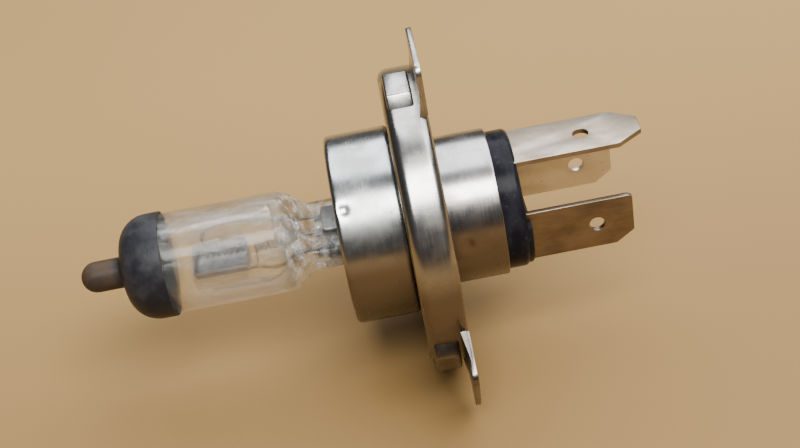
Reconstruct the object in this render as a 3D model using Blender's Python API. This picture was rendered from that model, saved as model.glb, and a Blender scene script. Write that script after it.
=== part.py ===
"""Three-blade halogen headlight bulb with a prefocus ring, as separate pieces.

The bulb's axis is X. The glass tip points to -X and the blades to +X. Z is up,
through the top lug and the top blade. The origin is on the axis in the
reference plane, which is the front face of the three lugs.
"""

import math

import bmesh
import bpy
from mathutils import Matrix, Vector

MM = 0.001

# ---------------------------------------------------------------- clearances
SEAT_GAP = 0.3 * MM            # between metal pieces that are pressed or welded together
BLADE_GAP = 0.15 * MM          # round a blade in its slot in the insulator
FINE_GAP = 0.1 * MM            # round the coating, the foils and the wires

# ------------------------------------------------------- glass and its coating
GLASS_RADIUS = 7.3 * MM
GLASS_WALL = 1.1 * MM
GLASS_FRONT = 45.4 * MM        # reference plane to the flat front of the glass
SHOULDER = 4.0 * MM            # radius between the glass's front and its side
NIB_TIP = 51.75 * MM           # reference plane to the end of the sealed nib
NIB_RADIUS = 1.9 * MM
NIB_FILLET = 0.7 * MM
COAT_THICKNESS = 0.25 * MM
COAT_REAR = 39.3 * MM          # reference plane to the coating's edge on the tube
TUBE_REAR = 22.6 * MM          # reference plane to the end of the round tube
PINCH_FRONT = 18.0 * MM        # reference plane to where the pinch is fully flat
PINCH_REAR = 8.5 * MM
PINCH_WIDTH = 12.6 * MM
PINCH_HEIGHT = 4.0 * MM
PINCH_SQUARENESS = 6.0
CAVITY_REAR = 20.0 * MM        # reference plane to the end of the gas space

# ------------------------------------------------------ wires inside the glass
FOIL_PITCH = 3.8 * MM
FOIL_WIDTH = 2.2 * MM
FOIL_THICKNESS = 0.1 * MM
FOIL_FRONT = 17.8 * MM
FOIL_LENGTH = 6.0 * MM
WELD_LAP = 1.0 * MM            # how far a lead lies over the end of its foil
INNER_LEAD_RADIUS = 0.3 * MM
OUTER_LEAD_RADIUS = 0.4 * MM
FILAMENT_WIRE = 0.12 * MM
FILAMENT_RADIUS = 0.75 * MM
FILAMENT_TURNS = 7
LOW_FILAMENT_FRONT = 34.0 * MM
LOW_FILAMENT_HEIGHT = 0.5 * MM
HIGH_FILAMENT_REAR = 22.3 * MM
HIGH_FILAMENT_LENGTH = 4.5 * MM
LOW_LEG_TOP = 2.4 * MM
HIGH_LEG_TOP = 1.8 * MM
LIVE_LEAD_MARGIN = 1.9 * MM    # inside of the glass to the wire that passes the low coil
LEG_SPACE = 0.35 * MM          # the low coil's first leg to the shield's rear edge
SHIELD_RADIUS = 3.2 * MM
SHIELD_THICKNESS = 0.3 * MM
SHIELD_FRONT = 36.0 * MM
SHIELD_REAR = 28.2 * MM
SHIELD_NOTCH = 0.5 * MM
SHIELD_CUT = math.radians(15)  # one rim is lower, for the raised part of the beam

# -------------------------------------------------------------- metal bodies
SLEEVE_RADIUS = 13.65 * MM
SLEEVE_WALL = 0.5 * MM
SLEEVE_FRONT = 14.2 * MM
SLEEVE_LIP = 0.7 * MM          # how far the sleeve's front edge turns in
CLAMP_WALL = 0.4 * MM
CLAMP_SETBACK = 0.9 * MM       # sleeve mouth to the clamp's front face
CLAMP_DEPTH = 4.6 * MM
CLAMP_TONGUE_WIDTH = 5.6 * MM
CLAMP_TONGUE_REACH = 2.4 * MM  # how far the tongues reach out of the sleeve's mouth
RING_RADIUS = 21.5 * MM
RING_WALL = 0.8 * MM
RING_FRONT = 5.0 * MM          # reference plane to the ring's closed front
RING_CORNER = 1.5 * MM
RING_REAR_ROLL = 1.3 * MM      # radius of the rear edge, which rolls inwards
WEB_HOLE_RADIUS = 9.2 * MM
LUG_LENGTH = 6.5 * MM          # how far the lugs stand out of the ring
LUG_WIDTH = 12.0 * MM
LUG_THICKNESS = 0.8 * MM
LUG_CORNER = 1.6 * MM
LUG_PAD_WIDTH = 8.0 * MM
LUG_PAD_HEIGHT = 1.3 * MM
LUG_PAD_DEPTH = 3.6 * MM
LUG_PAD_FRONT = 4.4 * MM       # reference plane to the pads' front faces
LUG_SEAT_MARGIN = 0.2 * MM     # top of a pad to the edge of the lug's flat seat face
LUG_BEND_FLARE = 0.2 * MM      # how far the bend at a lug's root is wider than the lug
LUG_COUNT = 3
SHELL_RADIUS = 10.65 * MM
SHELL_WALL = 0.4 * MM
SHELL_REAR = 8.5 * MM
SHELL_FLANGE = 13.0 * MM

# ------------------------------------------------------- insulator and blades
INSULATOR_GAP = 0.25 * MM      # between the insulator and the rear shell
INSULATOR_FRONT = 0.5 * MM
INSULATOR_REAR = 11.7 * MM
INSULATOR_ROUND = 0.8 * MM
STEP_REAR = 12.3 * MM          # rear face of the lower, raised half
STEP_TOP = 1.2 * MM
STEP_INSET = 0.35 * MM
BLADE_WIDTH = 8.0 * MM
BLADE_THICKNESS = 0.8 * MM
BLADE_FRONT = 1.5 * MM         # how far the blades reach in front of the reference plane
TOP_BLADE_END = 29.9 * MM
SIDE_BLADE_END = 26.8 * MM
TOP_BLADE_WALL = 0.135 * MM    # insulator left at the corners of the top blade's slot
SIDE_BLADE_MARGIN = 2.65 * MM  # insulator's edge to the middle of a side blade
SIDE_BLADE_HEIGHT = -1.6 * MM
TOP_CHAMFER = (3.6 * MM, 2.4 * MM)           # along the blade, across it
SIDE_LOWER_CHAMFER = (2.6 * MM, 1.9 * MM)
SIDE_UPPER_CHAMFER = (0.6 * MM, 0.4 * MM)
BLADE_HOLE_RADIUS = 1.1 * MM
BLADE_HOLE_AT = 21.6 * MM      # reference plane to the middle of the blades' holes

# ------------------------------------------------------------------ fineness
ROUND_STEPS = 48
TUBE_STEPS = 32
SMALL_STEPS = 16
ARC_STEPS = 4
MERGE = 0.001 * MM
CUT_MARGIN = 1.0 * MM
SMOOTH_ANGLE = math.radians(35)

# Worked out from the sizes above
LEFT, MIDDLE, RIGHT = -FOIL_PITCH, 0.0, FOIL_PITCH
INNER_LEAD_HEIGHT = FOIL_THICKNESS / 2 + FINE_GAP + INNER_LEAD_RADIUS
OUTER_LEAD_HEIGHT = FOIL_THICKNESS / 2 + FINE_GAP + OUTER_LEAD_RADIUS
COMMON_WIRE_HEIGHT = -(SHIELD_RADIUS + FINE_GAP + INNER_LEAD_RADIUS)
LOW_LIVE_X = -LOW_FILAMENT_FRONT
HIGH_COMMON_X = -(HIGH_FILAMENT_REAR + HIGH_FILAMENT_LENGTH)
CAVITY_RADIUS = GLASS_RADIUS - GLASS_WALL
FRONT_FLAT = GLASS_RADIUS - NIB_RADIUS - NIB_FILLET - FINE_GAP - COAT_THICKNESS
GLASS_SHOULDER = min(SHOULDER, FRONT_FLAT)
INSULATOR_RADIUS = SHELL_RADIUS - SHELL_WALL - INSULATOR_GAP
LUG_REACH = RING_RADIUS + LUG_LENGTH
SLOT_HALF_WIDTH = BLADE_WIDTH / 2 + BLADE_GAP
SLOT_THICKNESS = BLADE_THICKNESS + 2 * BLADE_GAP
TOP_SLOT_TOP = math.sqrt((INSULATOR_RADIUS - TOP_BLADE_WALL) ** 2 - SLOT_HALF_WIDTH ** 2)
TOP_BLADE_HEIGHT = TOP_SLOT_TOP - SLOT_THICKNESS / 2
SIDE_BLADE_OFFSET = INSULATOR_RADIUS - SIDE_BLADE_MARGIN


# ------------------------------------------------------------------- helpers
def clear_scene():
    for obj in list(bpy.data.objects):
        bpy.data.objects.remove(obj, do_unlink=True)


def make_material(name, colour, metallic, roughness):
    material = bpy.data.materials.new(name)
    material.use_nodes = True
    shader = material.node_tree.nodes["Principled BSDF"]
    shader.inputs["Base Color"].default_value = (*colour, 1.0)
    shader.inputs["Metallic"].default_value = metallic
    shader.inputs["Roughness"].default_value = roughness
    return material


def add_mesh_object(name, bm, material):
    bmesh.ops.recalc_face_normals(bm, faces=bm.faces)
    mesh = bpy.data.meshes.new(name)
    bm.to_mesh(mesh)
    bm.free()
    mesh.shade_smooth()
    mesh.set_sharp_from_angle(angle=SMOOTH_ANGLE)
    mesh.materials.append(material)
    obj = bpy.data.objects.new(name, mesh)
    bpy.context.collection.objects.link(obj)
    return obj


def add_cutter(name, bm, parent):
    cutter = add_mesh_object(name, bm, parent.data.materials[0])
    cutter.hide_render = True
    cutter.display_type = "WIRE"
    return cutter


def combine(obj, name, bm, operation):
    """Cut a shape out of an object, or join it on, with an exact Boolean."""
    modifier = obj.modifiers.new(name, "BOOLEAN")
    modifier.operation = operation
    modifier.solver = "EXACT"
    modifier.object = add_cutter(f"{obj.name}_{name}", bm, obj)


def arc(centre_x, centre_r, radius, start, end, steps=ARC_STEPS):
    """Points (x, radius) on an arc in the turning plane; angles in degrees from +X."""
    points = []
    for step in range(steps + 1):
        angle = math.radians(start + (end - start) * step / steps)
        points.append((centre_x + radius * math.cos(angle), centre_r + radius * math.sin(angle)))
    return points


def turned(outline, steps=ROUND_STEPS, touches_axis=False):
    """Spin an outline of (x, radius) points once round the X axis."""
    bm = bmesh.new()
    verts = [bm.verts.new((x, 0.0, radius)) for x, radius in outline]
    pairs = list(zip(verts, verts[1:]))
    if not touches_axis:
        pairs.append((verts[-1], verts[0]))
    edges = [bm.edges.new(pair) for pair in pairs]
    bmesh.ops.spin(bm, geom=verts + edges, cent=(0, 0, 0), axis=(1, 0, 0),
                   angle=math.tau, steps=steps, use_merge=True)
    bmesh.ops.remove_doubles(bm, verts=bm.verts, dist=MERGE)
    return bm


def section_ring(bm, x, half_width, half_height, squareness):
    """One ring of a loft: a circle at squareness 2, a rounded rectangle above it."""
    ring = []
    for step in range(TUBE_STEPS):
        angle = math.tau * (step + 0.5) / TUBE_STEPS
        across = math.copysign(abs(math.cos(angle)) ** (2 / squareness), math.cos(angle))
        up = math.copysign(abs(math.sin(angle)) ** (2 / squareness), math.sin(angle))
        ring.append(bm.verts.new((x, half_width * across, half_height * up)))
    return ring


def loft(sections):
    """Skin a row of cross-sections and close both ends."""
    bm = bmesh.new()
    rings = [section_ring(bm, *section) for section in sections]
    for front, rear in zip(rings, rings[1:]):
        for step in range(TUBE_STEPS):
            after = (step + 1) % TUBE_STEPS
            bm.faces.new((front[step], front[after], rear[after], rear[step]))
    bm.faces.new(rings[0])
    bm.faces.new(rings[-1])
    return bm


def prism(outline, thickness, frame):
    """Extrude a flat outline, then place it: thickness is centred on the outline's plane."""
    bm = bmesh.new()
    verts = [bm.verts.new((u, v, -thickness / 2)) for u, v in outline]
    face = bm.faces.new(verts)
    extruded = bmesh.ops.extrude_face_region(bm, geom=[face])
    moved = [item for item in extruded["geom"] if isinstance(item, bmesh.types.BMVert)]
    bmesh.ops.translate(bm, verts=moved, vec=(0, 0, thickness))
    bmesh.ops.transform(bm, matrix=frame, verts=bm.verts)
    return bm


def box(low, high):
    """A box between two corners."""
    bm = bmesh.new()
    bmesh.ops.create_cube(bm, size=1.0)
    size = Vector(high) - Vector(low)
    centre = (Vector(high) + Vector(low)) / 2
    bmesh.ops.scale(bm, verts=bm.verts, vec=size)
    bmesh.ops.translate(bm, verts=bm.verts, vec=centre)
    return bm


def merged(shapes):
    """Put separate, disjoint shapes into one mesh."""
    whole = bmesh.new()
    for shape in shapes:
        bmesh.ops.recalc_face_normals(shape, faces=shape.faces)
        scratch = bpy.data.meshes.new("scratch")
        shape.to_mesh(scratch)
        shape.free()
        whole.from_mesh(scratch)
        bpy.data.meshes.remove(scratch)
    return whole


def rod_along_x(x_start, x_end, y, z, radius, steps=12):
    bm = bmesh.new()
    bmesh.ops.create_cone(bm, cap_ends=True, segments=steps, radius1=radius, radius2=radius,
                          depth=x_end - x_start)
    place = Matrix.Translation(((x_start + x_end) / 2, y, z)) @ Matrix.Rotation(math.pi / 2, 4, "Y")
    bmesh.ops.transform(bm, matrix=place, verts=bm.verts)
    return bm


def smooth_route(points, per_span=4):
    """Points along a smooth curve that passes through every point of a route."""
    route = [Vector(point) for point in points]
    ends = [2 * route[0] - route[1]] + route + [2 * route[-1] - route[-2]]
    smooth = []
    for before, start, end, after in zip(ends, ends[1:], ends[2:], ends[3:]):
        for step in range(per_span):
            t = step / per_span
            smooth.append(0.5 * (2 * start + (end - before) * t
                                 + (2 * before - 5 * start + 4 * end - after) * t ** 2
                                 + (3 * start - before - 3 * end + after) * t ** 3))
    return smooth + [route[-1]]


def add_wire(name, points, radius, material, resolution=2):
    curve = bpy.data.curves.new(name, "CURVE")
    curve.dimensions = "3D"
    curve.bevel_depth = radius
    curve.bevel_resolution = resolution
    curve.use_fill_caps = True
    spline = curve.splines.new("POLY")
    spline.points.add(len(points) - 1)
    for target, point in zip(spline.points, points):
        target.co = (*point, 1.0)
    curve.materials.append(material)
    obj = bpy.data.objects.new(name, curve)
    bpy.context.collection.objects.link(obj)
    return obj


# --------------------------------------------------------- glass and coating
def nose_outline(offset):
    """The glass's front, from the nib's end to the tube, moved out by an offset."""
    nib_centre = -NIB_TIP + NIB_RADIUS
    face = -GLASS_FRONT - offset
    side = NIB_RADIUS + offset
    nib = arc(nib_centre, 0.0, NIB_RADIUS + offset, 180, 90)
    root = [(face - NIB_FILLET, side), (face - NIB_FILLET / 4, side + NIB_FILLET / 4),
            (face, side + NIB_FILLET)]
    shoulder = arc(-GLASS_FRONT + GLASS_SHOULDER, GLASS_RADIUS - GLASS_SHOULDER,
                   GLASS_SHOULDER + offset, 180, 90)
    return nib + root + shoulder


def glass_envelope(material):
    outside = [(x, radius, radius, 2.0) for x, radius in nose_outline(0.0)[1:]]
    half_width, half_height = PINCH_WIDTH / 2, PINCH_HEIGHT / 2
    outside.append((-TUBE_REAR, GLASS_RADIUS, GLASS_RADIUS, 2.0))
    for share in (0.3, 0.6, 0.85):
        x = -TUBE_REAR + (TUBE_REAR - PINCH_FRONT) * share
        blend = share * share * (3 - 2 * share)
        outside.append((x, GLASS_RADIUS + (half_width - GLASS_RADIUS) * blend,
                        GLASS_RADIUS + (half_height - GLASS_RADIUS) * blend,
                        2.0 + (PINCH_SQUARENESS - 2.0) * share ** 3))
    outside.append((-PINCH_FRONT, half_width, half_height, PINCH_SQUARENESS))
    outside.append((-PINCH_REAR, half_width, half_height, PINCH_SQUARENESS))
    glass = add_mesh_object("glass_envelope", loft(outside), material)
    combine(glass, "gas_space", gas_space(), "DIFFERENCE")
    combine(glass, "foil_slots", foil_slots(), "DIFFERENCE")
    combine(glass, "inner_lead_holes", lead_holes(INNER_LEAD_RADIUS, INNER_LEAD_HEIGHT,
            -CAVITY_REAR - CUT_MARGIN, -FOIL_FRONT + WELD_LAP + FINE_GAP), "DIFFERENCE")
    combine(glass, "outer_lead_holes", lead_holes(OUTER_LEAD_RADIUS, OUTER_LEAD_HEIGHT,
            -FOIL_FRONT + FOIL_LENGTH - WELD_LAP - FINE_GAP, -PINCH_REAR + CUT_MARGIN),
            "DIFFERENCE")
    return glass


def gas_space():
    """The hollow inside the glass, round in the tube and flattened towards the pinch."""
    radius = CAVITY_RADIUS
    corner = GLASS_SHOULDER - GLASS_WALL
    front = arc(-GLASS_FRONT + GLASS_SHOULDER, radius - corner, corner, 180, 90, steps=3)
    inside = [(x, r, r, 2.0) for x, r in front]
    end_width = PINCH_WIDTH / 2 - GLASS_WALL
    end_height = OUTER_LEAD_HEIGHT + OUTER_LEAD_RADIUS
    span = TUBE_REAR + GLASS_WALL - CAVITY_REAR
    for share in (0.0, 0.4, 0.75, 1.0):
        blend = share * share * (3 - 2 * share)
        inside.append((-CAVITY_REAR - span * (1 - share),
                       radius + (end_width - radius) * blend,
                       radius + (end_height - radius) * blend, 2.0 + share))
    return loft(inside)


def foil_slots():
    half_width = FOIL_WIDTH / 2 + FINE_GAP
    half_height = FOIL_THICKNESS / 2 + FINE_GAP
    slots = []
    for y in (LEFT, MIDDLE, RIGHT):
        slots.append(box((-FOIL_FRONT - FINE_GAP, y - half_width, -half_height),
                         (-FOIL_FRONT + FOIL_LENGTH + FINE_GAP, y + half_width, half_height)))
    return merged(slots)


def lead_holes(radius, height, x_start, x_end):
    return merged([rod_along_x(x_start, x_end, y, height, radius + FINE_GAP)
                   for y in (LEFT, MIDDLE, RIGHT)])


def antiglare_coating(material):
    outer = nose_outline(FINE_GAP + COAT_THICKNESS)
    inner = nose_outline(FINE_GAP)
    rim = [(-COAT_REAR, outer[-1][1]), (-COAT_REAR, inner[-1][1])]
    outline = outer + rim + inner[::-1]
    return add_mesh_object("antiglare_coating", turned(outline, TUBE_STEPS, True), material)


# ------------------------------------------------ filaments, shield and leads
def coil(x_start, x_end, height):
    """A filament's turns; they start and end level with the coil's middle, on its +Y side."""
    steps = FILAMENT_TURNS * 10
    points = []
    for step in range(steps + 1):
        angle = math.tau * FILAMENT_TURNS * step / steps
        points.append(Vector((x_start + (x_end - x_start) * step / steps,
                              FILAMENT_RADIUS * math.cos(angle),
                              height + FILAMENT_RADIUS * math.sin(angle))))
    return points


def filament(name, x_common, x_live, height, live_height, material):
    """A coil whose first leg comes up from the common lead and whose last leg goes up."""
    foot = COMMON_WIRE_HEIGHT + INNER_LEAD_RADIUS + FINE_GAP + FILAMENT_WIRE
    legs_in = [Vector((x_common, 0.0, foot)),
               Vector((x_common, FILAMENT_RADIUS, height - 1.5 * FILAMENT_RADIUS))]
    leg_out = [Vector((x_live, FILAMENT_RADIUS, live_height))]
    return add_wire(name, legs_in + coil(x_common, x_live, height) + leg_out,
                    FILAMENT_WIRE, material, resolution=1)


def low_beam_filament(material):
    return filament("low_beam_filament", -SHIELD_REAR + LEG_SPACE, LOW_LIVE_X,
                    LOW_FILAMENT_HEIGHT, LOW_LEG_TOP, material)


def high_beam_filament(material):
    return filament("high_beam_filament", HIGH_COMMON_X, -HIGH_FILAMENT_REAR, 0.0,
                    HIGH_LEG_TOP, material)


def low_beam_shield(material):
    """A cup under the low beam filament: half a turn of an L outline, one rim cut lower."""
    inner = SHIELD_RADIUS - SHIELD_THICKNESS
    outline = [(-SHIELD_FRONT, SHIELD_NOTCH), (-SHIELD_FRONT, inner - SHIELD_THICKNESS)]
    outline += [(-SHIELD_FRONT + SHIELD_THICKNESS, SHIELD_RADIUS), (-SHIELD_REAR, SHIELD_RADIUS)]
    outline += [(-SHIELD_REAR, inner), (-SHIELD_FRONT + 2 * SHIELD_THICKNESS, inner)]
    outline += [(-SHIELD_FRONT + SHIELD_THICKNESS, inner - SHIELD_THICKNESS),
                (-SHIELD_FRONT + SHIELD_THICKNESS, SHIELD_NOTCH)]
    start = math.pi + SHIELD_CUT
    bm = bmesh.new()
    verts = [bm.verts.new((x, r * math.cos(start), r * math.sin(start))) for x, r in outline]
    face = bm.faces.new(verts)
    bmesh.ops.spin(bm, geom=[face], cent=(0, 0, 0), axis=(1, 0, 0),
                   angle=math.pi - SHIELD_CUT, steps=SMALL_STEPS)
    return add_mesh_object("low_beam_shield", bm, material)


def inner_lead(name, y, route, material):
    """A support wire from its foil, straight through the pinch, then along its route."""
    straight = [(-FOIL_FRONT + WELD_LAP, y, INNER_LEAD_HEIGHT),
                (-CAVITY_REAR - WELD_LAP, y, INNER_LEAD_HEIGHT)]
    return add_wire(name, [Vector(straight[0])] + smooth_route(straight[1:] + route),
                    INNER_LEAD_RADIUS, material)


def inner_leads(material):
    tip_gap = FILAMENT_WIRE + FINE_GAP
    ground = [(-CAVITY_REAR - 2.6 * MM, LEFT * 0.9, -1.3 * MM),
              (HIGH_COMMON_X + 2.2 * MM, LEFT * 0.4, COMMON_WIRE_HEIGHT + 0.5 * MM),
              (HIGH_COMMON_X, 0.0, COMMON_WIRE_HEIGHT),
              (-SHIELD_REAR - 1.0 * MM, 0.0, COMMON_WIRE_HEIGHT),
              (LOW_LIVE_X, 0.0, COMMON_WIRE_HEIGHT)]
    high = [(-HIGH_FILAMENT_REAR + 0.9 * MM, FILAMENT_RADIUS / 2, HIGH_LEG_TOP * 0.5),
            (-HIGH_FILAMENT_REAR + tip_gap + 0.15 * MM, FILAMENT_RADIUS, HIGH_LEG_TOP * 0.9)]
    side = CAVITY_RADIUS - LIVE_LEAD_MARGIN
    low = [(-CAVITY_REAR - 3.5 * MM, side, 1.0 * MM), (-SHIELD_REAR, side, 2.0 * MM),
           (LOW_LIVE_X + 1.2 * MM, RIGHT, LOW_LEG_TOP - 0.2 * MM),
           (LOW_LIVE_X, RIGHT / 2, LOW_LEG_TOP - 0.2 * MM),
           (LOW_LIVE_X, FILAMENT_RADIUS + tip_gap, LOW_LEG_TOP - 0.2 * MM)]
    return [inner_lead("inner_lead_ground", LEFT, ground, material),
            inner_lead("inner_lead_high", MIDDLE, high, material),
            inner_lead("inner_lead_low", RIGHT, low, material)]


def foils(material):
    pieces = []
    for name, y in (("foil_ground", LEFT), ("foil_high", MIDDLE), ("foil_low", RIGHT)):
        shape = box((-FOIL_FRONT, y - FOIL_WIDTH / 2, -FOIL_THICKNESS / 2),
                    (-FOIL_FRONT + FOIL_LENGTH, y + FOIL_WIDTH / 2, FOIL_THICKNESS / 2))
        pieces.append(add_mesh_object(name, shape, material))
    return pieces


def outer_leads(material):
    """Stiff wires from the foils to the inner faces of the blades."""
    reach = BLADE_THICKNESS / 2 + FINE_GAP + OUTER_LEAD_RADIUS
    side = SIDE_BLADE_OFFSET - reach
    top = TOP_BLADE_HEIGHT - reach
    ends = (("outer_lead_ground", LEFT, (-side, SIDE_BLADE_HEIGHT)),
            ("outer_lead_high", MIDDLE, (side, SIDE_BLADE_HEIGHT)),
            ("outer_lead_low", RIGHT, (0.0, top)))
    weld_front, weld_rear = -BLADE_FRONT - OUTER_LEAD_RADIUS, INSULATOR_FRONT - SEAT_GAP
    pieces = []
    for name, y, (end_y, end_z) in ends:
        start = Vector((-FOIL_FRONT + FOIL_LENGTH - WELD_LAP, y, OUTER_LEAD_HEIGHT))
        leave = Vector((-PINCH_REAR + CUT_MARGIN, y, OUTER_LEAD_HEIGHT))
        arrive = Vector((weld_front, end_y, end_z))
        bend = leave.lerp(arrive, 0.5)
        finish = Vector((weld_rear, end_y, end_z))
        points = [start] + smooth_route([leave, bend, arrive]) + [finish]
        pieces.append(add_wire(name, points, OUTER_LEAD_RADIUS, material))
    return pieces


# -------------------------------------------------------------- metal bodies
def front_sleeve(material):
    """The cylinder in front of the ring: a cup with a rolled mouth and a welded foot."""
    rear = -RING_FRONT - SEAT_GAP
    inner = SLEEVE_RADIUS - SLEEVE_WALL
    mouth = arc(-SLEEVE_FRONT + SLEEVE_LIP, SLEEVE_RADIUS - SLEEVE_LIP, SLEEVE_LIP, 180, 90, 3)
    mouth_inner = arc(-SLEEVE_FRONT + SLEEVE_LIP, SLEEVE_RADIUS - SLEEVE_LIP,
                      SLEEVE_LIP - SLEEVE_WALL, 90, 180, 2)
    foot = [(rear - SLEEVE_WALL, SLEEVE_RADIUS), (rear, SLEEVE_RADIUS - SLEEVE_WALL),
            (rear, WEB_HOLE_RADIUS), (rear - SLEEVE_WALL, WEB_HOLE_RADIUS),
            (rear - SLEEVE_WALL, inner)]
    return add_mesh_object("front_sleeve", turned(mouth + foot + mouth_inner), material)


def pinch_clamp(material):
    """The sprung holder inside the sleeve, which grips the flat pinch of the glass."""
    front = -SLEEVE_FRONT + CLAMP_SETBACK
    rear = front + CLAMP_DEPTH
    outer = SLEEVE_RADIUS - SLEEVE_WALL - SEAT_GAP
    inner = outer - CLAMP_WALL
    tongue_low = PINCH_HEIGHT / 2 + SEAT_GAP
    tongue_high = tongue_low + CLAMP_WALL
    half = PINCH_WIDTH / 2 + SEAT_GAP
    cup = [(front, 0.0), (front, outer - CLAMP_WALL), (front + CLAMP_WALL, outer), (rear, outer),
           (rear, inner), (front + CLAMP_WALL, inner), (front + CLAMP_WALL, 0.0)]
    clamp = add_mesh_object("pinch_clamp", turned(cup, ROUND_STEPS, True), material)
    combine(clamp, "pinch_opening", box((front - CUT_MARGIN, -half, -tongue_low),
            (rear + CUT_MARGIN, half, tongue_low)), "DIFFERENCE")
    for side, name in ((1, "upper_tongue"), (-1, "lower_tongue")):
        low, high = sorted((side * tongue_low, side * tongue_high))
        tongue = box((-SLEEVE_FRONT - CLAMP_TONGUE_REACH, -CLAMP_TONGUE_WIDTH / 2, low),
                     (rear, CLAMP_TONGUE_WIDTH / 2, high))
        combine(clamp, name, tongue, "UNION")
    return clamp


def lug_frame(index, along=0.0):
    """A frame turned to a lug: its X is radial, its Y across and its Z along the bulb."""
    upright = Matrix(((0, 0, 1, along), (0, 1, 0, 0), (1, 0, 0, 0), (0, 0, 0, 1)))
    return Matrix.Rotation(math.tau * index / LUG_COUNT, 4, "X") @ upright


def lug_bend(index, root):
    """The bend at a lug's root, which thickens it in front up to where its flat seat starts."""
    half = LUG_THICKNESS / 2
    seat_edge = RING_RADIUS + LUG_PAD_HEIGHT + LUG_SEAT_MARGIN
    sunk = half / 4
    outline = [(-half, root), (half, root), (sunk, seat_edge + (seat_edge - root) * sunk / half)]
    frame = Matrix.Rotation(math.tau * index / LUG_COUNT + math.pi / 2, 4, "X")
    return prism(outline, LUG_WIDTH + 2 * LUG_BEND_FLARE, frame)


def reference_ring(material):
    """A hat-shaped pressing: a closed front, an outer wall, and three lugs behind it."""
    inner = RING_RADIUS - RING_WALL
    inner_corner = max(RING_CORNER - RING_WALL, RING_WALL / 4)
    inner_roll = max(RING_REAR_ROLL - RING_WALL, RING_WALL / 4)
    roll_x, roll_r = LUG_THICKNESS - RING_REAR_ROLL, RING_RADIUS - RING_REAR_ROLL
    front_corner = arc(-RING_FRONT + RING_CORNER, RING_RADIUS - RING_CORNER, RING_CORNER, 180, 90)
    rear_edge = arc(roll_x, roll_r, RING_REAR_ROLL, 90, 0)
    rear_edge += arc(roll_x, roll_r, inner_roll, 0, 90, 3)
    back = arc(-RING_FRONT + RING_WALL + inner_corner, inner - inner_corner, inner_corner,
               90, 180, 3)
    outline = [(-RING_FRONT, WEB_HOLE_RADIUS)] + front_corner + rear_edge
    outline += back + [(-RING_FRONT + RING_WALL, WEB_HOLE_RADIUS)]
    ring = add_mesh_object("reference_ring", turned(outline), material)
    half, pad_half = LUG_WIDTH / 2, LUG_PAD_WIDTH / 2
    lug_root, pad_root = roll_r + RING_WALL * 0.4, inner + RING_WALL * 0.4
    for index in range(LUG_COUNT):
        lug = [(lug_root, -half), (LUG_REACH - LUG_CORNER, -half), (LUG_REACH, -half + LUG_CORNER),
               (LUG_REACH, half - LUG_CORNER), (LUG_REACH - LUG_CORNER, half), (lug_root, half)]
        combine(ring, f"lug_{index}", prism(lug, LUG_THICKNESS,
                lug_frame(index, LUG_THICKNESS / 2)), "UNION")
        combine(ring, f"bend_{index}", lug_bend(index, lug_root), "UNION")
        pad_top = RING_RADIUS + LUG_PAD_HEIGHT
        pad = [(pad_root, -pad_half), (pad_top, -pad_half + LUG_PAD_HEIGHT),
               (pad_top, pad_half - LUG_PAD_HEIGHT), (pad_root, pad_half)]
        combine(ring, f"pad_{index}", prism(pad, LUG_PAD_DEPTH, lug_frame(
                index, LUG_PAD_DEPTH / 2 - LUG_PAD_FRONT)), "UNION")
    return ring


def rear_shell(material):
    """The cylinder behind the ring: its front flange is welded to the ring's web."""
    front = -RING_FRONT + RING_WALL + SEAT_GAP
    inner = SHELL_RADIUS - SHELL_WALL
    outline = [(front, inner), (front, SHELL_FLANGE), (front + SHELL_WALL, SHELL_FLANGE),
               (front + SHELL_WALL, SHELL_RADIUS + SHELL_WALL / 2),
               (front + 1.5 * SHELL_WALL, SHELL_RADIUS), (SHELL_REAR - SHELL_WALL / 2, SHELL_RADIUS),
               (SHELL_REAR, SHELL_RADIUS - SHELL_WALL / 2), (SHELL_REAR, inner)]
    return add_mesh_object("rear_shell", turned(outline), material)


# ------------------------------------------------------- insulator and blades
def insulator(material):
    """The black plug that holds the blades, with its lower half standing further out."""
    edge = arc(INSULATOR_REAR - INSULATOR_ROUND, INSULATOR_RADIUS - INSULATOR_ROUND,
               INSULATOR_ROUND, 90, 0, 3)
    outline = [(INSULATOR_FRONT, 0.0), (INSULATOR_FRONT, INSULATOR_RADIUS)] + edge
    outline += [(INSULATOR_REAR, 0.0)]
    plug = add_mesh_object("insulator", turned(outline, ROUND_STEPS, True), material)
    combine(plug, "lower_step", lower_step(), "UNION")
    slots = merged([blade_slot(frame) for frame in blade_frames().values()])
    combine(plug, "blade_slots", slots, "DIFFERENCE")
    return plug


def lower_step():
    """A segment of a disc, flat on top, on the insulator's rear face."""
    radius = INSULATOR_RADIUS - STEP_INSET
    start = math.asin(STEP_TOP / radius)
    sweep = math.pi + 2 * start
    count = ROUND_STEPS // 2
    outline = []
    for step in range(count + 1):
        angle = start - sweep * step / count
        outline.append((radius * math.sin(angle), radius * math.cos(angle)))
    root = INSULATOR_REAR - INSULATOR_ROUND
    return prism(outline, STEP_REAR - root, lug_frame(0, (STEP_REAR + root) / 2))


def blade_frames():
    """Where each blade lies: its outline's plane, with X along the bulb."""
    quarter = Matrix.Rotation(math.pi / 2, 4, "X")
    return {
        "top": Matrix.Translation((0, 0, TOP_BLADE_HEIGHT)),
        "ground": Matrix.Translation((0, -SIDE_BLADE_OFFSET, SIDE_BLADE_HEIGHT)) @ quarter,
        "high": Matrix.Translation((0, SIDE_BLADE_OFFSET, SIDE_BLADE_HEIGHT)) @ quarter,
    }


def blade_slot(frame):
    half = SLOT_HALF_WIDTH
    front, rear = INSULATOR_FRONT - CUT_MARGIN, STEP_REAR + CUT_MARGIN
    outline = [(front, -half), (rear, -half), (rear, half), (front, half)]
    return prism(outline, SLOT_THICKNESS, frame)


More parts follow.
